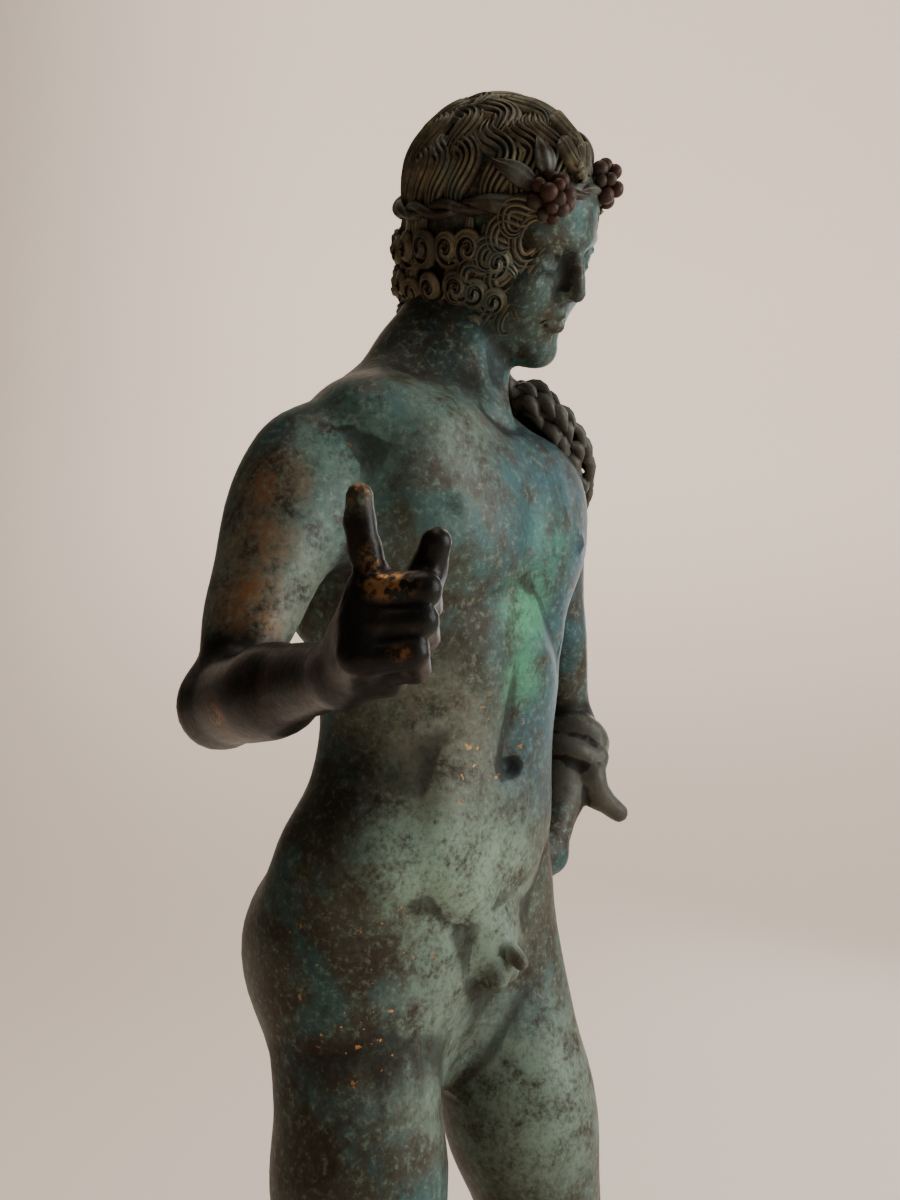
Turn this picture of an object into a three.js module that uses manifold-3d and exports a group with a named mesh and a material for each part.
// A small bronze of a standing youth on a low round base, after the classical type: weight on the left leg,
// left hand on the hip, right forearm raised with the forefinger up, a fleece over the left shoulder and arm,
// and a wreath of berries in curly hair. Millimetres, +Z up, front towards -Y, the figure's left towards +X.
import * as THREE from "three";
import { mergeVertices } from "three/addons/utils/BufferGeometryUtils.js";
import Module from "manifold-3d";

// Driving sizes
const BASE_HEIGHT = 24;
const BASE_RADIUS = 88;
const SOLE_GAP = 0.3; // the feet stand this far off the base
const CELL = 2.05; // grid step of the modelling clay
const FIGURE_TRIANGLES = 9400;

// Vectors are arrays of three numbers
const add = (a, b) => [a[0] + b[0], a[1] + b[1], a[2] + b[2]];
const sub = (a, b) => [a[0] - b[0], a[1] - b[1], a[2] - b[2]];
const mul = (a, s) => [a[0] * s, a[1] * s, a[2] * s];
const dot = (a, b) => a[0] * b[0] + a[1] * b[1] + a[2] * b[2];
const cross = (a, b) => [
  a[1] * b[2] - a[2] * b[1],
  a[2] * b[0] - a[0] * b[2],
  a[0] * b[1] - a[1] * b[0],
];
const unit = (a) => mul(a, 1 / Math.hypot(...a));
const mix = (a, b, t) => add(mul(a, 1 - t), mul(b, t));
const rad = (degrees) => (degrees * Math.PI) / 180;

// A frame placed at a point and turned: nod forwards, then lean to the figure's right, then turn to its left.
// at(l, f, u) gives the point l to the figure's left, f forwards and u upwards.
function frameAt(origin, nod, lean, turn) {
  const [cn, sn] = [Math.cos(rad(nod)), Math.sin(rad(nod))];
  const [cl, sl] = [Math.cos(rad(lean)), Math.sin(rad(lean))];
  const [ct, st] = [Math.cos(rad(turn)), Math.sin(rad(turn))];
  const yaw = (v) => [v[0] * ct - v[1] * st, v[0] * st + v[1] * ct, v[2]];
  const up = [0, -sn, cn];
  const front = yaw([0, -cn, -sn]);
  const top = yaw(sub(mul(up, cl), [sl, 0, 0]));
  const left = yaw(add([cl, 0, 0], mul(up, sl)));
  const axes = [left, front, top];
  const at = (l, f, u) => add(origin, add(mul(left, l), add(mul(front, f), mul(top, u))));
  return { at, axes, left, front, top };
}

// A cone with round ends from a to b. flat = [direction, share] squashes its section along a direction.
function cone(a, b, ra, rb, flat) {
  const ba = sub(b, a);
  const l2 = dot(ba, ba);
  const rr = ra - rb;
  const a2 = l2 - rr * rr;
  const il2 = 1 / l2;
  const reach = Math.max(ra, rb);
  const w = flat ? unit(flat[0]) : null;
  const stretch = flat ? 1 / flat[1] - 1 : 0;
  const dist = (x, y, z) => {
    let px = x - a[0];
    let py = y - a[1];
    let pz = z - a[2];
    if (w) {
      const t = ((px * ba[0] + py * ba[1] + pz * ba[2]) * il2);
      const s = ((px - ba[0] * t) * w[0] + (py - ba[1] * t) * w[1] + (pz - ba[2] * t) * w[2]) * stretch;
      px += w[0] * s;
      py += w[1] * s;
      pz += w[2] * s;
    }
    const along = px * ba[0] + py * ba[1] + pz * ba[2];
    const past = along - l2;
    const ex = px * l2 - ba[0] * along;
    const ey = py * l2 - ba[1] * along;
    const ez = pz * l2 - ba[2] * along;
    const x2 = ex * ex + ey * ey + ez * ez;
    const y2 = along * along * l2;
    const z2 = past * past * l2;
    const k = Math.sign(rr) * rr * rr * x2;
    const scale = w ? flat[1] : 1;
    if (a2 <= 0) return scale * (ra > rb ? Math.hypot(px, py, pz) - ra : Math.sqrt(x2 + z2) * il2 - rb);
    if (Math.sign(past) * a2 * z2 > k) return scale * (Math.sqrt(x2 + z2) * il2 - rb);
    if (Math.sign(along) * a2 * y2 < k) return scale * (Math.sqrt(x2 + y2) * il2 - ra);
    return scale * ((Math.sqrt(x2 * a2 * il2) + along * rr) * il2 - ra);
  };
  return {
    dist,
    low: [0, 1, 2].map((i) => Math.min(a[i], b[i]) - reach),
    high: [0, 1, 2].map((i) => Math.max(a[i], b[i]) + reach),
  };
}

// An ellipsoid with its own axes, three unit vectors.
const WORLD_AXES = [[1, 0, 0], [0, 1, 0], [0, 0, 1]];
function egg(centre, radii, axes = WORLD_AXES) {
  const [u, v, w] = axes;
  const smallest = Math.min(...radii);
  const dist = (x, y, z) => {
    const p = [x - centre[0], y - centre[1], z - centre[2]];
    const q = [dot(p, u) / radii[0], dot(p, v) / radii[1], dot(p, w) / radii[2]];
    const k0 = Math.hypot(...q);
    const k1 = Math.hypot(q[0] / radii[0], q[1] / radii[1], q[2] / radii[2]);
    return k1 < 1e-9 ? -smallest : (k0 * (k0 - 1)) / k1;
  };
  const reach = [0, 1, 2].map((i) => Math.hypot(u[i] * radii[0], v[i] * radii[1], w[i] * radii[2]));
  return { dist, low: sub(centre, reach), high: add(centre, reach) };
}
const ball = (centre, r) => egg(centre, [r, r, r]);
// An ellipsoid laid from a to b, w wide and t thick, with its thickness along the direction out.
function muscle(a, b, w, t, out) {
  const along = unit(sub(b, a));
  const side = unit(cross(along, out));
  return egg(mix(a, b, 0.5), [Math.hypot(...sub(b, a)) / 2, w / 2, t / 2], [along, side, cross(along, side)]);
}

// Values that run smoothly through stations [z, ...values], by Hermite curves.
function through(stations, z) {
  const last = stations.length - 1;
  const slope = (i, k) => {
    const [a, b] = [stations[Math.max(i - 1, 0)], stations[Math.min(i + 1, last)]];
    return (b[k] - a[k]) / (b[0] - a[0]);
  };
  let i = 0;
  while (i < last - 1 && z > stations[i + 1][0]) i += 1;
  const [p, q] = [stations[i], stations[i + 1]];
  const span = q[0] - p[0];
  const t = Math.min(Math.max((z - p[0]) / span, 0), 1);
  const [t2, t3] = [t * t, t * t * t];
  return p.slice(1).map((v, k) => (2 * t3 - 3 * t2 + 1) * v + (t3 - 2 * t2 + t) * slope(i, k + 1) * span
    + (3 * t2 - 2 * t3) * q[k + 1] + (t3 - t2) * slope(i + 1, k + 1) * span);
}

// A trunk whose level sections are ovals: stations are [z, centre x, centre y, half width, front depth, back depth].
function trunk(stations, power) {
  const [z0, z1] = [stations[0][0], stations[stations.length - 1][0]];
  const rows = [];
  for (let z = z0; z <= z1 + 1; z += 1) rows.push(through(stations, z));
  const dist = (x, y, z) => {
    const at = Math.min(Math.max(z - z0, 0), z1 - z0);
    const row = Math.floor(at);
    const [p, q, t] = [rows[row], rows[Math.min(row + 1, rows.length - 1)], at - row];
    const [cx, cy, a, bf, bb] = p.map((v, k) => v + (q[k] - v) * t);
    const dx = x - cx;
    const dy = y - cy;
    const b = dy < 0 ? bf : bb;
    const rho = (Math.abs(dx / a) ** power + Math.abs(dy / b) ** power) ** (1 / power);
    const round = rho < 1e-6 ? -Math.min(a, b) : Math.hypot(dx, dy) * (1 - 1 / rho);
    const cap = Math.max(z0 - z, z - z1);
    return Math.max(round, cap);
  };
  const reach = Math.max(...stations.map((s) => Math.max(s[3], s[4], s[5]) + Math.hypot(s[1], s[2])));
  return { dist, low: [-reach, -reach, z0], high: [reach, reach, z1] };
}

// Modelling clay: a grid of signed distances to which shapes are added and from which they are cut,
// each with a blend in millimetres.
class Clay {
  constructor(low, high, cell) {
    this.low = low;
    this.cell = cell;
    this.size = [0, 1, 2].map((i) => Math.ceil((high[i] - low[i]) / cell) + 1);
    this.field = new Float32Array(this.size[0] * this.size[1] * this.size[2]).fill(99);
  }
  sweep(shape, margin, change) {
    const { low, cell, size, field } = this;
    const from = [0, 1, 2].map((i) => Math.max(0, Math.floor((shape.low[i] - margin - low[i]) / cell)));
    const to = [0, 1, 2].map((i) => Math.min(size[i] - 1, Math.ceil((shape.high[i] + margin - low[i]) / cell)));
    for (let k = from[2]; k <= to[2]; k += 1)
      for (let j = from[1]; j <= to[1]; j += 1)
        for (let i = from[0]; i <= to[0]; i += 1) {
          const at = i + size[0] * (j + size[1] * k);
          field[at] = change(field[at],
            shape.dist(low[0] + i * cell, low[1] + j * cell, low[2] + k * cell));
        }
  }
  add(shape, blend = 2) {
    this.sweep(shape, blend + 2 * this.cell, (a, b) => {
      const h = Math.max(blend - Math.abs(a - b), 0) / blend;
      return Math.min(a, b) - h * h * blend * 0.25;
    });
  }
  cut(shape, blend = 2) {
    this.sweep(shape, blend + 2 * this.cell, (a, b) => {
      const h = Math.max(blend - Math.abs(a + b), 0) / blend;
      return Math.max(a, -b) + h * h * blend * 0.25;
    });
  }
}

// Fills the grid points where two parts of the clay would touch along an edge or at a corner only,
// so that its skin is one clean sheet everywhere.
function closeUp(clay) {
  const { size, field } = clay;
  const [nx, ny, nz] = size;
  const step = [1, nx, nx * ny];
  const fill = (a, b) => {
    field[field[a] < field[b] ? a : b] = -0.02;
    return 1;
  };
  const facePair = (a, u, v) => {
    const [p, q, r, t] = [a, a + u, a + u + v, a + v];
    const [sp, sq, sr, st] = [field[p] < 0, field[q] < 0, field[r] < 0, field[t] < 0];
    if (sp !== sr || sq !== st || sp === sq) return 0;
    return sp ? fill(q, t) : fill(p, r);
  };
  for (let changes = 1; changes > 0;) {
    changes = 0;
    for (let k = 0; k + 1 < nz; k += 1)
      for (let j = 0; j + 1 < ny; j += 1)
        for (let i = 0; i + 1 < nx; i += 1) {
          const a = i + nx * (j + ny * k);
          if (Math.abs(field[a]) > 3 * clay.cell) continue;
          changes += facePair(a, step[0], step[1]) + facePair(a, step[0], step[2]) + facePair(a, step[1], step[2]);
          const corner = (c) => a + (c & 1) + nx * ((c >> 1) & 1) + nx * ny * (c >> 2);
          let mask = 0;
          for (let c = 0; c < 8; c += 1) if (field[corner(c)] < 0) mask |= 1 << c;
          for (let c = 0; c < 4; c += 1) {
            const pair = (1 << c) | (1 << (7 - c));
            if (mask === pair) changes += fill(corner(c ^ 1), corner(c ^ 2));
            if (mask === 255 - pair) changes += fill(corner(c), corner(7 - c));
          }
        }
  }
  return clay;
}

// Where everything is: the joints of the pose
const HIP_R = [-33, 23, 300];
const HIP_L = [27, 19, 306];
const KNEE_R = [-38, 12, 160];
const KNEE_L = [41, -8, 163];
const ANKLE_R = [-43, 44, 40];
const ANKLE_L = [37, 8, 28];
const SHOULDER_R = [-67, 11, 450];
const SHOULDER_L = [48, 6, 463];
const ELBOW_R = [-102, 5, 381];
const ELBOW_L = [86, 14, 362];
const WRIST_R = [-133, -69, 387.5];
const WRIST_L = [55, 5, 318];
const CHEST = frameAt([-9, 5, 435], 0, -4, 0);
const PELVIS = frameAt([-6, 24, 305], 0, 5, 4);
const HEAD = frameAt([-1, -12, 534], 26, 21, 7);

const TRUNK = [
  [246, -4, 24, 20, 12, 17],
  [266, -5, 24, 42, 24, 34],
  [284, -5, 24, 54, 32, 38],
  [302, -6, 24, 58, 36, 38],
  [320, -6, 21, 57, 37, 35],
  [342, -4, 16, 50, 36, 32],
  [366, -3, 12, 45, 35, 33],
  [390, -5, 9, 47, 36, 34],
  [412, -7, 7, 51, 36, 35],
  [434, -9, 6, 54, 35, 36],
  [450, -10, 7, 52, 31, 35],
  [464, -11, 8, 41, 24, 30],
  [474, -12, 9, 30, 20, 25],
  [482, -12, 9, 20, 17, 20],
  [494, -12, 8, 11, 10, 11],
];

function torso(clay) {
  const { at, axes } = CHEST;
  const hip = PELVIS;
  clay.add(trunk(TRUNK, 2.25), 1);
  for (const s of [-1, 1]) {
    clay.add(egg(at(s * 23, 23, 7), [26, 9, 21], axes), 18); // breast muscle
    clay.add(egg(at(s * 28, 12, 25), [24, 11, 13], axes), 16); // fullness under the collar bone
    clay.add(egg(at(s * 43, -12, -8), [11, 20, 34], axes), 12); // side of the back
    clay.add(egg(at(s * 24, -28, 8), [19, 9, 20], axes), 12); // shoulder blade
    clay.add(egg(hip.at(s * 38, 8, 30), [13, 20, 12], hip.axes), 16); // flank above the hip bone
    clay.add(egg(hip.at(s * 23, -23, -8), [25, 21, 30], hip.axes), 10); // buttock
    clay.add(egg(hip.at(s * 16, 34, 30), [15, 6, 26], hip.axes), 10); // belly, either side of its line
    clay.cut(cone(hip.at(s * 45, 27, 27), hip.at(s * 14, 41, -8), 2, 2.6), 8); // groin
    clay.cut(cone(at(s * 7, 38, -22), at(s * 38, 29, -42), 2, 2), 9); // edge of the ribs
    clay.add(ball(at(s * 34, 33, -1), 2), 3); // nipple
  }
  clay.cut(cone(at(0, 42, 24), at(0, 42, -18), 2, 2), 11); // breastbone
  clay.cut(cone(at(0, 42, -20), hip.at(0, 46, 54), 2, 2), 11); // line of the belly
  clay.cut(cone(at(0, -35, 22), hip.at(0, -32, 46), 3, 3), 11); // furrow of the back
  clay.cut(cone(hip.at(0, -56, 6), hip.at(0, -50, -34), 2, 3), 6); // between the buttocks
  clay.cut(ball(hip.at(3, 43, 52), 2.6), 3); // navel
  clay.cut(ball(at(-1, 22, 40), 3.5), 7); // hollow of the throat
  clay.add(cone(at(3, 17.5, 38), at(42, 1, 38), 2.4, 2.4), 10); // collar bones
  clay.add(cone(at(-5, 17.5, 38), at(-48, 0, 28), 2.4, 2.4), 10);
  clay.add(egg(at(-38, 3, 30), [14, 10, 9], axes), 12); // hollow over the right collar bone, filled softly
  clay.add(cone([-16, 13, 492], [-56, 14, 457], 13, 11), 14); // slope of the neck to the shoulders
  clay.add(cone([-10, 13, 490], [40, 9, 468], 12, 11), 14);
  // private parts, kept small as on any antique youth
  clay.add(egg(hip.at(3, 36, -10), [13, 7, 9], hip.axes), 7);
  clay.add(egg(hip.at(-1, 41, -25), [5, 5, 7], hip.axes), 2);
  clay.add(egg(hip.at(6, 41, -24), [5, 5, 7], hip.axes), 2);
  clay.add(cone(hip.at(3, 41, -12), hip.at(4, 48, -21), 3.2, 2.4), 2);
}

// A leg from hip to ankle. s is the side, -1 for the right.
function leg(clay, s, hip, knee, ankle) {
  const front = unit([0, -1, 0]);
  const back = [0, 1, 0];
  const out = [s, 0, 0];
  const on = (a, b, t, f, o) => add(mix(a, b, t), add(mul(front, f), mul(out, o)));
  clay.add(cone(hip, mix(hip, knee, 0.55), 28, 25), 12);
  clay.add(cone(mix(hip, knee, 0.5), knee, 25, 16), 10);
  clay.add(muscle(on(hip, knee, 0.12, 10, 3), on(hip, knee, 0.88, 7, 3), 30, 26, front), 10);
  clay.add(muscle(on(hip, knee, 0.3, 2, 13), on(hip, knee, 0.95, 3, 7), 24, 20, out), 8);
  clay.add(muscle(on(hip, knee, 0.55, 7, -9), on(hip, knee, 1.0, 5, -8), 14, 13, front), 6);
  clay.add(muscle(on(hip, knee, 0.02, -2, -12), on(hip, knee, 0.6, 0, -8), 26, 26, out), 10);
  clay.add(muscle(on(hip, knee, 0.2, -12, 1), on(hip, knee, 0.95, -7, 1), 28, 20, back), 9);
  clay.add(egg(add(knee, [0, -9, 1]), [8.5, 7, 10]), 6); // kneecap
  clay.cut(egg(add(knee, [0, 19, -4]), [8, 4, 12]), 6); // back of the knee
  clay.add(cone(add(knee, [0, 1, -6]), mix(knee, ankle, 0.45), 14.5, 13.5), 8);
  clay.add(cone(mix(knee, ankle, 0.42), ankle, 13.5, 8), 8);
  clay.add(muscle(on(knee, ankle, 0.02, -7, -5), on(knee, ankle, 0.52, -8, -4), 17, 20, back), 7);
  clay.add(muscle(on(knee, ankle, 0.02, -7, 6), on(knee, ankle, 0.46, -8, 5), 15, 18, back), 7);
  clay.add(cone(on(knee, ankle, 0.1, 8, 0), on(knee, ankle, 0.85, 5, 0), 5, 4), 6); // shin
}

// A foot: heel, ball of the foot and the great toe's direction, all by points. lift raises the heel.
function foot(clay, s, ankle, heel, pad, reach) {
  const ahead = unit([reach[0] - pad[0], reach[1] - pad[1], 0]);
  const out = mul(cross(ahead, [0, 0, 1]), -s * Math.sign(-1));
  const side = dot(out, [s, 0, 0]) > 0 ? out : mul(out, -1);
  clay.add(cone(ankle, mix(heel, ankle, 0.1), 8.5, 9.5), 5);
  clay.add(cone(heel, mix(heel, pad, 0.3), 9, 9), 4);
  clay.add(cone(add(ankle, [0, -3, -4]), add(pad, add(mul(side, -3), [0, 0, 4])), 9.5, 7), 7);
  clay.add(cone(mix(heel, pad, 0.2), add(pad, mul(side, 7)), 8, 5.5), 6);
  clay.add(cone(mix(heel, pad, 0.45), add(pad, mul(side, -6)), 7.5, 6.5), 6);
  clay.add(ball(add(ankle, add(mul(side, 7), [0, 2, 0])), 4), 4); // ankle bones
  clay.add(ball(add(ankle, add(mul(side, -7), [0, 0, 4])), 4), 4);
  for (let toe = 0; toe < 5; toe += 1) {
    const across = -9 + toe * 4.9;
    const root = add(pad, add(mul(side, across), mul(ahead, 2 - toe * 2.2)));
    const length = 17 - toe * 1.7;
    const r = toe === 0 ? 4.6 : 3.4 - toe * 0.12;
    const tip = add(root, mul(ahead, length));
    tip[2] = r * 0.8;
    const joint = mix(root, tip, 0.5);
    joint[2] = Math.max(r + 1.4, (root[2] + tip[2]) / 2);
    clay.add(cone(root, joint, r + 0.6, r), 2);
    clay.add(cone(joint, tip, r, r * 0.9), 1.5);
  }
}

// A finger of three bones through its joints, r thick at its root
function finger(clay, points, r, blend = 1.4) {
  for (let i = 0; i + 1 < points.length; i += 1)
    clay.add(cone(points[i], points[i + 1], r * (1 - 0.07 * i), r * (0.96 - 0.07 * i)), blend);
}

// An upper arm. full, in millimetres, makes it and its triceps stouter.
function upperArm(clay, shoulder, elbow, back, full) {
  const front = mul(back, -1);
  const on = (t, v, d) => add(mix(shoulder, elbow, t), mul(v, d));
  clay.add(cone(shoulder, elbow, 13 + full, 10 + full / 2), 9);
  clay.add(muscle(on(0.2, front, 4), on(0.9, front, 3.5), 21, 20, front), 7); // biceps
  clay.add(muscle(on(0.12, back, 4.5 + full), on(0.86, back, 4 + full * 3), 22, 19, back), 7); // triceps
}

// The edge of the breast muscle that runs on to the arm
function breastToArm(clay, s, shoulder, elbow, share) {
  const end = add(mix(shoulder, elbow, share), [-s * 3, -7, 0]);
  clay.add(muscle(CHEST.at(s * 22, 26, 8), end, 30, 14, [0, -1, 0]), 10);
}

function rightArm(clay) {
  const along = unit(sub(ELBOW_R, SHOULDER_R));
  const ahead = unit(sub(WRIST_R, ELBOW_R));
  const back = unit(sub([0, 1, 0], mul(along, along[1])));
  upperArm(clay, SHOULDER_R, ELBOW_R, back, 1);
  breastToArm(clay, -1, SHOULDER_R, ELBOW_R, 0.3);
  clay.add(muscle(add(SHOULDER_R, [0, 0, 11.5]), mix(SHOULDER_R, ELBOW_R, 0.55), 34, 31, [-1, 0, 0.3]), 9); // deltoid
  clay.add(ball(add(ELBOW_R, [1, 4, -4]), 9.5), 5); // elbow
  const up = unit(cross(cross(ahead, [0, 0, 1]), ahead));
  clay.add(cone(ELBOW_R, mix(ELBOW_R, WRIST_R, 0.5), 12.3, 9.6), 5);
  clay.add(cone(mix(ELBOW_R, WRIST_R, 0.45), WRIST_R, 9.8, 6.6, [cross(ahead, up), 0.9]), 5);
  clay.add(muscle(add(ELBOW_R, up), add(mix(ELBOW_R, WRIST_R, 0.6), up), 19, 17, up), 5);
  clay.add(muscle(add(ELBOW_R, mul(up, -4)), add(mix(ELBOW_R, WRIST_R, 0.66), mul(up, -2.5)), 18, 16, up), 5);
}

// The raised hand, in a frame of its own: h runs from wrist to knuckles, q from the back of the hand into
// the palm, and k from the little finger's side to the forefinger's.
function rightHand(clay) {
  const h = unit([-0.68, -0.66, 0.32]);
  const q0 = [0.66, -0.75, 0.0];
  const k = unit(cross(h, q0));
  const q = cross(k, h);
  const at = (a, b, c) => add(WRIST_R, add(mul(h, a), add(mul(q, b), mul(k, c))));
  clay.add(cone(WRIST_R, at(7, 3, 2), 6.6, 7), 4);
  clay.add(cone(at(6, 3, 5), at(20, 4, 8.5), 6, 4.6), 3); // back of the hand
  clay.add(cone(at(6, 2.6, -0.5), at(19, 2.4, -3), 6, 4.4), 3);
  clay.add(cone(at(8, 3, 3), at(19, 2.9, 3), 6, 4.8), 3);
  clay.add(egg(at(9, 8.5, -1.5), [8, 4.2, 5.4], [h, q, k]), 4); // heel of the hand
  const reaches = [1, 0.97, 0.86];
  reaches.forEach((s, i) => { // middle, ring and little finger, folded
    const c = 7.8 - i * 6.1;
    const bones = [at(22 - i, 3.8 - i * 0.7, c), at(24 - i * 1.4, 13.5 * s, c + i * 0.6), at(16, 14.5 * s, c),
      at(14, 9, c)];
    finger(clay, bones, 3.4 - i * 0.12, 0.7);
  });
  finger(clay, [at(21, 4.4, 11.2), at(23.5, 2.8, 15.6), at(25.5, 1.8, 20), at(27, 1.7, 24.4)], 3.1); // forefinger
  clay.add(cone(at(18, 5, 10), at(19, 9, 10.5), 3, 2.6), 3);
  finger(clay, [at(8, 6, 7), at(15, 12.3, 9.5), at(20, 14.5, 13), at(24, 15.8, 17)], 3.6, 2.2); // thumb
}

function leftArm(clay) {
  const back = unit([0.3, 0.9, 0.2]);
  upperArm(clay, SHOULDER_L, ELBOW_L, back, 0);
  breastToArm(clay, 1, SHOULDER_L, ELBOW_L, 0.28);
  clay.add(muscle(add(SHOULDER_L, [-2, 0, 14]), mix(SHOULDER_L, ELBOW_L, 0.5), 32, 29, [1, 0, 0.3]), 8);
  clay.add(ball(add(ELBOW_L, [3, 4, -2]), 9), 5);
  clay.add(cone(ELBOW_L, mix(ELBOW_L, WRIST_L, 0.5), 11.8, 10.5), 6);
  clay.add(cone(mix(ELBOW_L, WRIST_L, 0.45), WRIST_L, 10.5, 7.2), 6);
  // the hand lies on the hip with its fingers back
  const palm = [57, 19, 311];
  clay.add(cone(WRIST_L, palm, 7.2, 6.5, [[1, 0, 0.3], 0.8]), 4);
  clay.add(cone(WRIST_L, add(palm, [0, 2, 7]), 6.5, 5), 4);
  for (let i = 0; i < 4; i += 1) {
    const root = add(palm, [0.5 * i - 1, 3 + i * 0.5, 8 - i * 5.4]);
    finger(clay, [root, add(root, [-1.5, 13, -2]), add(root, [-6, 21, -4]), add(root, [-11, 25, -5])], 3.3, 1.3);
  }
  finger(clay, [add(WRIST_L, [-2, 3, -6]), [50, 6, 303], [47, 6, 295]], 3.8, 2);
}

function head(clay) {
  const { at, axes } = HEAD;
  clay.add(cone([-12, 8, 478], at(0, -8, -8), 18.5, 17.5), 12); // neck
  for (const s of [-1, 1]) clay.add(cone(at(s * 17, -8, -12), CHEST.at(s * 3 - 1, 19, 38), 4.2, 3), 6);
  clay.add(egg(at(0, -1, 13), [25.5, 33, 28.5], axes), 6); // skull
  clay.add(egg(at(0, 13, -11), [20, 18.5, 24], axes), 8); // jaw and cheeks
  clay.add(egg(at(0, 25, -30), [7.5, 6, 5.5], axes), 6); // chin
  clay.add(egg(at(0, 17, 14), [21, 15, 16], axes), 6); // forehead
  for (const s of [-1, 1]) {
    clay.cut(egg(at(s * 11, 34, 2.5), [7.5, 5.6, 4.6], axes), 4); // eye socket
    clay.add(egg(at(s * 10.8, 24.6, 2.2), [6, 5.4, 4.2], axes), 1.2); // eye
    clay.add(cone(at(s * 4, 31, 8), at(s * 17, 26.5, 8), 2.4, 2), 3.5); // brow
    clay.add(egg(at(s * 13, 23, -8), [7, 6, 7], axes), 5); // cheek
    clay.add(ball(at(s * 3.7, 31.6, -9.2), 2.3), 1.6); // wing of the nose
    clay.add(cone(at(0, 31.2, -15.6), at(s * 5.8, 29, -17.2), 1.6, 1), 1.2); // upper lip
    clay.add(cone(at(s * 0.5, 30.8, -19.8), at(s * 4.2, 29.6, -19.4), 1.9, 1.4), 1.4); // lower lip
    clay.cut(cone(at(0, 32.6, -17.8), at(s * 6.6, 30, -18.3), 0.4, 0.4), 1.4);
  }
  clay.add(cone(at(0, 30.2, 9), at(0, 35.4, -7.6), 2.3, 2.9), 3); // nose
  hair(clay);
}

// A place on the scalp, out above it. A turn of 0 degrees is at the forehead and 90 at the left ear.
const SCALP_CENTRE = [0, -3, 15];
const SCALP = [27, 31, 28];
const SCALP_DEPTH = 48; // below its centre the scalp reaches further, down to the nape
function scalp(turn, rise, out) {
  const fall = rise < 0 ? Math.max(Math.cos(rad(rise)), 0.1) ** -0.45 : 1;
  const level = Math.cos(rad(rise)) * fall;
  const d = [Math.sin(rad(turn)) * level, Math.cos(rad(turn)) * level, Math.sin(rad(rise))];
  const radii = rise < 0 ? [SCALP[0], SCALP[1], SCALP_DEPTH] : SCALP;
  const n = unit(d.map((v, i) => v / radii[i]));
  return HEAD.at(...d.map((v, i) => SCALP_CENTRE[i] + v * radii[i] + n[i] * out));
}
const wreathRise = (turn) => 3.5 + 11 * Math.cos(rad(turn)) + 8.5 * Math.sin(rad(turn));

function hair(clay) {
  const { at, axes } = HEAD;
  clay.add(egg(at(...SCALP_CENTRE), SCALP, axes), 2); // the mass over the crown
  clay.add(egg(at(0, -12, 2), [26, 20, 24], axes), 2);
  clay.add(egg(at(0, -14, -14), [20, 13, 16], axes), 2); // and down the nape
  // waved locks that run from the whorl at the back down to the wreath
  for (let turn = 0; turn < 360; turn += 24) {
    const steps = [[turn + 14, 66], [turn - 5, 47], [turn + 5, 28], [turn - 3, wreathRise(turn) + 8]];
    for (let i = 0; i < 3; i += 1)
      clay.add(cone(scalp(...steps[i], -2), scalp(...steps[i + 1], -1.6), 4.2, 4.8), 2);
  }
  // round curls under the wreath, in rows over the ears and down the nape
  [[15, 0, 4.6], [31, 0.04, 4.8], [48, 0.16, 4.8], [65, 0.4, 4.4]].forEach(([drop, edge, r], row) => {
    for (let i = 0; i < 15; i += 1) {
      const turn = 66 + (i * 228) / 14 + (row % 2) * 8;
      if (1 - Math.abs(turn - 180) / 118 < edge) continue;
      clay.add(ball(scalp(turn, wreathRise(turn) - drop, 2 + row * 0.8), r), 1);
    }
  });
  // waves swept back from the brow, with small ringlets at the forehead
  for (const s of [-1, 1]) {
    for (const drop of [6, 15])
      for (let turn = 14; turn < 60; turn += 15)
        clay.add(cone(scalp(s * turn, wreathRise(s * turn) - drop, 1), scalp(s * (turn + 15),
          wreathRise(s * (turn + 15)) - drop - 3, 1.6), 2.8, 3), 1.2);
    for (const turn of [6, 15, 25, 34]) clay.add(ball(scalp(s * turn, wreathRise(s * turn) - 16, 0.4), 2.2), 1);
  }
  // the wreath: a band, lower behind, with leaves and two bunches of berries over the temples
  for (let turn = 0; turn < 360; turn += 15)
    clay.add(cone(scalp(turn, wreathRise(turn), 3.6), scalp(turn + 15, wreathRise(turn + 15), 3.6), 2.7, 2.7), 1);
  for (const s of [-1, 1]) {
    const rise = wreathRise(s * 29) + 1;
    clay.add(ball(scalp(s * 29, rise, 4), 5), 1.5);
    for (let i = 0; i < 11; i += 1) {
      const a = i * 2.39996;
      const r = 6.4 * Math.sqrt((i + 0.4) / 11);
      clay.add(ball(scalp(s * 29 + r * 1.9 * Math.cos(a), rise + r * 1.9 * Math.sin(a), 8.4 - r * 0.6), 2.5), 0.6);
    }
    for (const [turn, above, reach, lift] of [[36, 7, 18, 7], [40, -3, 28, -3], [12, 8, -12, 12], [30, 12, 6, 16]]) {
      const from = wreathRise(s * turn) + above;
      clay.add(cone(scalp(s * turn, from, 3), scalp(s * (turn + reach), from + lift, 3.4), 2.6, 1.8), 1);
    }
  }
}

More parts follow.
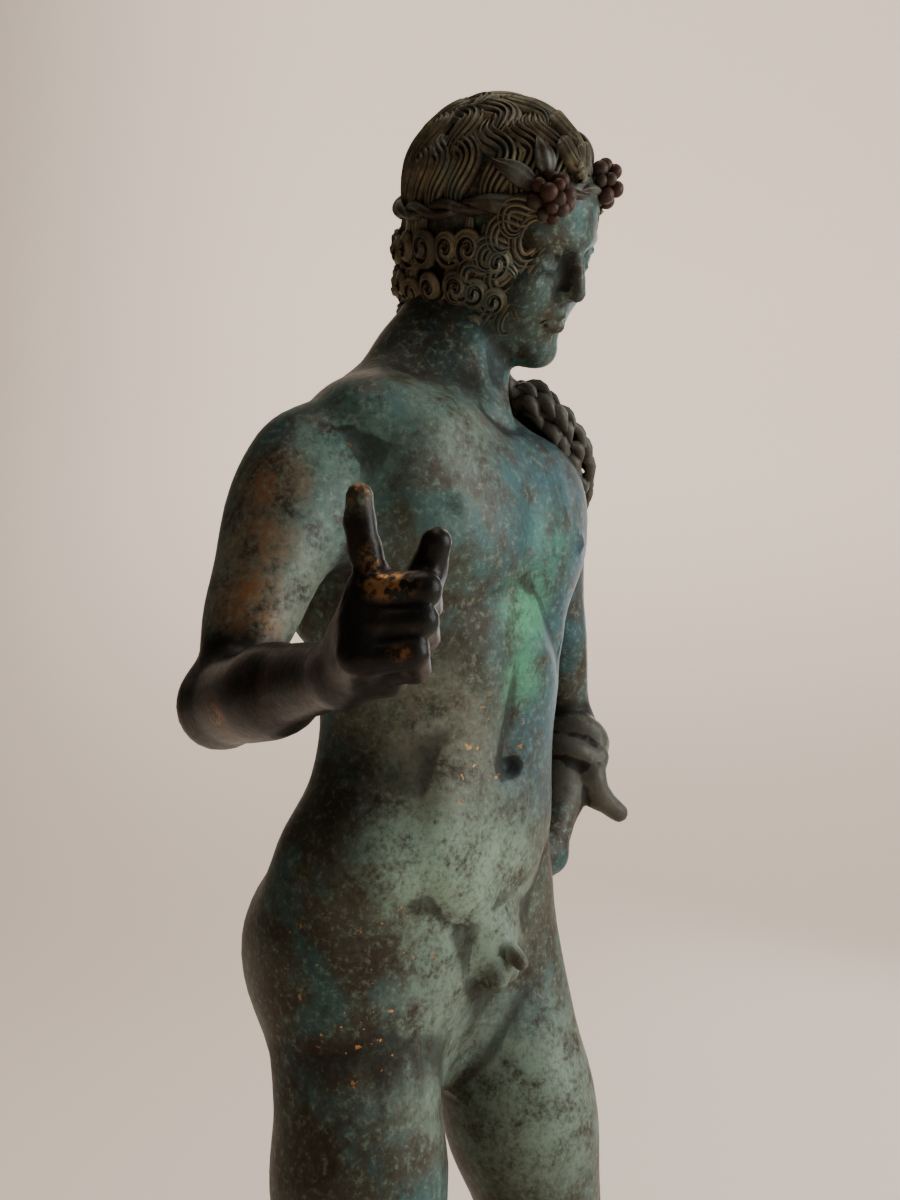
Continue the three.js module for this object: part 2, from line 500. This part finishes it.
// The fleece: rows of tufts on a sheet that lies over the left shoulder, hangs down the back and is
// carried round over the left forearm. Each row is a line of points across the sheet.
const FLEECE = [
  [[8, -8, 488], [22, -16, 479], [36, -16, 470], [50, -11, 459], [60, -1, 447]],
  [[2, 14, 494], [22, 11, 489], [40, 9, 486], [55, 9, 477], [65, 15, 461]],
  [[2, 36, 476], [20, 42, 474], [40, 36, 472], [56, 30, 464], [68, 24, 450]],
  [[0, 48, 446], [18, 50, 442], [40, 46, 436], [60, 42, 428], [76, 36, 418]],
  [[8, 50, 414], [24, 52, 410], [44, 52, 404], [66, 50, 398], [86, 44, 392]],
  [[24, 50, 386], [40, 54, 380], [58, 56, 376], [78, 52, 374], [98, 40, 378]],
  [[40, 50, 362], [54, 56, 354], [72, 56, 350], [90, 44, 354], [106, 26, 366]],
];

function fleece(clay) {
  const point = (u, v) => {
    const rows = FLEECE.map((row, i) => [i, ...through(row.map((p, j) => [j, ...p]), v)]);
    return through(rows, u);
  };
  const [U, V] = [FLEECE.length - 1, FLEECE[0].length - 1];
  const [across, along] = [14, 12];
  for (let i = 0; i < along; i += 1)
    for (let j = 0; j <= across; j += 1) {
      const u = (i + (j % 2) * 0.5) / along;
      const v = (j / across) * V;
      clay.add(cone(point(Math.max(u - 0.06, 0) * U, v), point(Math.min(u + 0.08, 1) * U, v), 3.8, 3.2), 3);
      if ((i + j) % 2 && u < 0.9) clay.add(cone(point(u * U, v), point((u + 0.05) * U, v), 4.6, 4), 1.5); // tuft
    }
  // the end thrown over the forearm and wound round it, with the foot of the skin hanging from it
  const fold = [[100, 24, 358], [93, 6, 357], [83, 0, 353], [77, -2, 345], [80, -3, 338]];
  for (let i = 0; i + 1 < fold.length; i += 1) clay.add(cone(fold[i], fold[i + 1], 5, 5), 3);
  clay.add(cone([80, -3, 338], [89, -8, 330], 4.6, 3.2), 2);
  const arm = unit(sub(WRIST_L, ELBOW_L));
  const side = unit(sub([1, 0, 0], mul(arm, arm[0])));
  const outward = cross(arm, side);
  const front = mul(outward, -Math.sign(outward[1]));
  for (let i = 0; i < 3; i += 1) {
    const middle = mix(ELBOW_L, WRIST_L, 0.1 + 0.13 * i);
    const round = (a) => add(middle, add(mul(side, (13 - i) * Math.cos(rad(a))), mul(front, (13 - i) * Math.sin(rad(a)))));
    for (let a = -60; a < 200; a += 26) clay.add(cone(round(a), round(a + 26), 4 - 0.5 * i, 3.6 - 0.5 * i), 1.6);
  }
}

// Surface nets: the clay's skin as triangles, one point in each cell that the surface passes through.
function skin(clay) {
  const { low, cell, size, field } = clay;
  const [nx, ny, nz] = size;
  const index = new Int32Array(nx * ny * nz).fill(-1);
  const points = [];
  const faces = [];
  const at = (i, j, k) => i + nx * (j + ny * k);
  for (let k = 0; k + 1 < nz; k += 1)
    for (let j = 0; j + 1 < ny; j += 1)
      for (let i = 0; i + 1 < nx; i += 1) {
        let n = 0;
        let [sx, sy, sz] = [0, 0, 0];
        const edge = (a, b, p, q) => {
          const [fa, fb] = [field[a], field[b]];
          if (fa < 0 === fb < 0) return;
          const t = fa / (fa - fb);
          sx += p[0] + (q[0] - p[0]) * t;
          sy += p[1] + (q[1] - p[1]) * t;
          sz += p[2] + (q[2] - p[2]) * t;
          n += 1;
        };
        for (let c = 0; c < 2; c += 1)
          for (let d = 0; d < 2; d += 1) {
            edge(at(i, j + c, k + d), at(i + 1, j + c, k + d), [0, c, d], [1, c, d]);
            edge(at(i + c, j, k + d), at(i + c, j + 1, k + d), [c, 0, d], [c, 1, d]);
            edge(at(i + c, j + d, k), at(i + c, j + d, k + 1), [c, d, 0], [c, d, 1]);
          }
        if (!n) continue;
        index[at(i, j, k)] = points.length / 3;
        points.push(low[0] + (i + sx / n) * cell, low[1] + (j + sy / n) * cell, low[2] + (k + sz / n) * cell);
      }
  const quad = (a, b, c, d, flip) => {
    if (flip) faces.push(a, c, b, a, d, c);
    else faces.push(a, b, c, a, c, d);
  };
  for (let k = 1; k + 1 < nz; k += 1)
    for (let j = 1; j + 1 < ny; j += 1)
      for (let i = 1; i + 1 < nx; i += 1) {
        const here = field[at(i, j, k)] < 0;
        if (here !== field[at(i + 1, j, k)] < 0)
          quad(index[at(i, j - 1, k - 1)], index[at(i, j, k - 1)], index[at(i, j, k)], index[at(i, j - 1, k)], !here);
        if (here !== field[at(i, j + 1, k)] < 0)
          quad(index[at(i - 1, j, k - 1)], index[at(i - 1, j, k)], index[at(i, j, k)], index[at(i, j, k - 1)], !here);
        if (here !== field[at(i, j, k + 1)] < 0)
          quad(index[at(i - 1, j - 1, k)], index[at(i, j - 1, k)], index[at(i, j, k)], index[at(i - 1, j, k)], !here);
      }
  return { points, faces };
}

// Keeps the largest connected surface: the outer skin, without sealed pockets inside it
function outerSkin({ points, faces }) {
  const parent = Int32Array.from({ length: points.length / 3 }, (_, i) => i);
  const root = (v) => {
    let r = v;
    while (parent[r] !== r) r = parent[r];
    while (parent[v] !== r) [parent[v], v] = [r, parent[v]];
    return r;
  };
  for (let i = 0; i < faces.length; i += 3) {
    parent[root(faces[i])] = root(faces[i + 1]);
    parent[root(faces[i + 1])] = root(faces[i + 2]);
  }
  const share = new Map();
  for (let i = 0; i < faces.length; i += 3) share.set(root(faces[i]), (share.get(root(faces[i])) ?? 0) + 1);
  const largest = [...share].reduce((a, b) => (b[1] > a[1] ? b : a))[0];
  const kept = [];
  for (let i = 0; i < faces.length; i += 3)
    if (root(faces[i]) === largest) kept.push(faces[i], faces[i + 1], faces[i + 2]);
  return { points, faces: kept };
}

// A heap of edges, cheapest first
class Heap {
  constructor() {
    this.items = [];
  }
  push(item) {
    const list = this.items;
    let i = list.push(item) - 1;
    while (i > 0) {
      const parent = (i - 1) >> 1;
      if (list[parent].cost <= item.cost) break;
      list[i] = list[parent];
      i = parent;
    }
    list[i] = item;
  }
  pop() {
    const list = this.items;
    const first = list[0];
    const last = list.pop();
    if (!list.length) return first;
    let i = 0;
    for (;;) {
      let child = 2 * i + 1;
      if (child >= list.length) break;
      if (child + 1 < list.length && list[child + 1].cost < list[child].cost) child += 1;
      if (last.cost <= list[child].cost) break;
      list[i] = list[child];
      i = child;
    }
    list[i] = last;
    return first;
  }
}

// How much more a spot's shape is worth than plain skin: the head, the hands and the feet are finer work
function worth(p) {
  if (p[2] > 488) return 10;
  if (p[2] < 30) return 5;
  return Math.hypot(...sub(p, WRIST_R)) < 45 || Math.hypot(...sub(p, WRIST_L)) < 34 ? 9 : 1;
}

// Thins a closed mesh to a number of triangles, giving up the edges whose loss moves the surface least.
function thinned({ points, faces }, target) {
  const count = points.length / 3;
  const place = Array.from({ length: count }, (_, i) => points.slice(3 * i, 3 * i + 3));
  const faceList = Array.from({ length: faces.length / 3 }, (_, i) => faces.slice(3 * i, 3 * i + 3));
  const around = Array.from({ length: count }, () => new Set());
  faceList.forEach((f, i) => f.forEach((v) => around[v].add(i)));
  const quadric = Array.from({ length: count }, () => new Float64Array(10));
  for (const f of faceList) {
    const [a, b, c] = f.map((v) => place[v]);
    const n = cross(sub(b, a), sub(c, a));
    const area = Math.hypot(...n);
    if (area < 1e-12) continue;
    const [x, y, z] = mul(n, 1 / area);
    const d = -(x * a[0] + y * a[1] + z * a[2]);
    const terms = [x * x, x * y, x * z, x * d, y * y, y * z, y * d, z * z, z * d, d * d];
    const care = area * worth(a);
    for (const v of f) terms.forEach((t, i) => (quadric[v][i] += t * care));
  }
  const cost = (q, [x, y, z]) =>
    q[0] * x * x + 2 * q[1] * x * y + 2 * q[2] * x * z + 2 * q[3] * x + q[4] * y * y +
    2 * q[5] * y * z + 2 * q[6] * y + q[7] * z * z + 2 * q[8] * z + q[9];
  const stamp = new Int32Array(count);
  const heap = new Heap();
  const offer = (a, b) => {
    const q = quadric[a].map((v, i) => v + quadric[b][i]);
    const middle = mix(place[a], place[b], 0.5);
    const det = q[0] * (q[4] * q[7] - q[5] * q[5]) - q[1] * (q[1] * q[7] - q[5] * q[2]) +
      q[2] * (q[1] * q[5] - q[4] * q[2]);
    let best = middle;
    if (Math.abs(det) > 1e-6) {
      const [r, s, t] = [-q[3], -q[6], -q[8]];
      const p = [
        (r * (q[4] * q[7] - q[5] * q[5]) - q[1] * (s * q[7] - q[5] * t) + q[2] * (s * q[5] - q[4] * t)) / det,
        (q[0] * (s * q[7] - q[5] * t) - r * (q[1] * q[7] - q[5] * q[2]) + q[2] * (q[1] * t - s * q[2])) / det,
        (q[0] * (q[4] * t - s * q[5]) - q[1] * (q[1] * t - s * q[2]) + r * (q[1] * q[5] - q[4] * q[2])) / det,
      ];
      if (Math.hypot(...sub(p, middle)) < 1.5 * Math.hypot(...sub(place[a], place[b]))) best = p;
    }
    heap.push({ cost: cost(q, best), a, b, q, best, when: stamp[a] + stamp[b] });
  };
  const neighbours = (v) => {
    const found = new Set();
    for (const f of around[v]) for (const w of faceList[f]) if (w !== v) found.add(w);
    return found;
  };
  for (const f of faceList)
    for (let i = 0; i < 3; i += 1) if (f[i] < f[(i + 1) % 3]) offer(f[i], f[(i + 1) % 3]);
  const gone = new Uint8Array(count);
  let left = faceList.length;
  while (left > target && heap.items.length) {
    const { a, b, q, best, when } = heap.pop();
    if (gone[a] || gone[b] || when !== stamp[a] + stamp[b]) continue;
    const shared = [...around[a]].filter((f) => around[b].has(f));
    if (shared.length !== 2) continue;
    const near = neighbours(a);
    if ([...neighbours(b)].filter((v) => near.has(v)).length !== 2) continue;
    const turns = [...around[a], ...around[b]].some((f) => {
      if (shared.includes(f)) return false;
      const before = faceList[f].map((v) => place[v]);
      const after = faceList[f].map((v) => (v === a || v === b ? best : place[v]));
      const n0 = cross(sub(before[1], before[0]), sub(before[2], before[0]));
      const n1 = cross(sub(after[1], after[0]), sub(after[2], after[0]));
      const size = Math.hypot(...n1);
      return size < 1e-6 || dot(n0, n1) < 0.25 * Math.hypot(...n0) * size;
    });
    if (turns) continue;
    for (const f of shared) {
      for (const v of faceList[f]) around[v].delete(f);
      left -= 1;
    }
    for (const f of around[b]) {
      faceList[f] = faceList[f].map((v) => (v === b ? a : v));
      around[a].add(f);
    }
    gone[b] = 1;
    place[a] = best;
    quadric[a] = q;
    stamp[a] += 1;
    for (const v of neighbours(a)) {
      stamp[v] += 1;
    }
    for (const v of neighbours(a)) {
      offer(a, v);
      for (const w of neighbours(v)) if (w !== a && (!neighbours(a).has(w) || v < w)) offer(v, w);
    }
  }
  const live = faceList.filter((f, i) => f.every((v) => !gone[v]) && around[f[0]].has(i));
  const used = new Map();
  const outPoints = [];
  const outFaces = live.flatMap((f) => f.map((v) => {
    if (!used.has(v)) {
      used.set(v, outPoints.length / 3);
      outPoints.push(...place[v]);
    }
    return used.get(v);
  }));
  return { points: outPoints, faces: outFaces };
}

const wasm = await Module();
wasm.setup();

// Between three.js geometry and manifold-3d solids
function solidOf(geometry) {
  const bare = geometry.clone();
  bare.deleteAttribute("normal");
  bare.deleteAttribute("uv");
  const merged = mergeVertices(bare, 1e-4);
  return new wasm.Manifold(new wasm.Mesh({
    numProp: 3,
    vertProperties: new Float32Array(merged.attributes.position.array),
    triVerts: new Uint32Array(merged.index.array),
  }));
}
function geometryOf(solid) {
  const mesh = solid.getMesh();
  const geometry = new THREE.BufferGeometry();
  geometry.setAttribute("position", new THREE.BufferAttribute(new Float32Array(mesh.vertProperties), 3));
  geometry.setIndex(new THREE.BufferAttribute(new Uint32Array(mesh.triVerts), 1));
  geometry.computeVertexNormals();
  return geometry;
}

function figureGeometry() {
  const clay = new Clay([-190, -135, -8], [125, 90, 600], CELL);
  torso(clay);
  leg(clay, -1, HIP_R, KNEE_R, ANKLE_R);
  leg(clay, 1, HIP_L, KNEE_L, ANKLE_L);
  foot(clay, -1, ANKLE_R, [-43, 58, 22], [-52, 4, 7], [-57, -14, 0]);
  foot(clay, 1, ANKLE_L, [36, 22, 9], [44, -40, 6], [47, -58, 0]);
  rightArm(clay);
  leftArm(clay);
  rightHand(clay);
  head(clay);
  fleece(clay);
  const { points, faces } = thinned(outerSkin(skin(closeUp(clay))), FIGURE_TRIANGLES);
  const geometry = new THREE.BufferGeometry();
  geometry.setAttribute("position", new THREE.Float32BufferAttribute(points, 3));
  geometry.setIndex(faces);
  // cut the soles flat
  const ground = new THREE.BoxGeometry(400, 400, 40);
  ground.translate(0, 0, SOLE_GAP - 20);
  const bodies = solidOf(geometry).subtract(solidOf(ground)).decompose();
  return geometryOf(bodies.reduce((a, b) => (b.volume() > a.volume() ? b : a)));
}

function baseGeometry() {
  const r = BASE_RADIUS;
  const h = BASE_HEIGHT;
  const profile = [[0, 0], [r, 0], [r, 5], [r - 2, 7], [r - 5, 9], [r - 6, 12], [r - 6, h - 8],
    [r - 5, h - 5], [r - 2.5, h - 3.5], [r - 2, h - 1.5], [r - 3.5, h], [0, h]];
  const geometry = new THREE.LatheGeometry(profile.map(([x, y]) => new THREE.Vector2(x, y)), 72);
  geometry.rotateX(Math.PI / 2);
  return geometry;
}

const bronze = new THREE.MeshStandardMaterial({ color: 0x3b4a45, roughness: 0.5, metalness: 0.6 });
const darkBronze = new THREE.MeshStandardMaterial({ color: 0x2e332f, roughness: 0.55, metalness: 0.6 });

const statuette = new THREE.Group();
const figure = new THREE.Mesh(figureGeometry(), bronze);
figure.name = "figure";
figure.position.z = BASE_HEIGHT;
const base = new THREE.Mesh(baseGeometry(), darkBronze);
base.name = "base";
statuette.add(figure, base);

export default statuette;
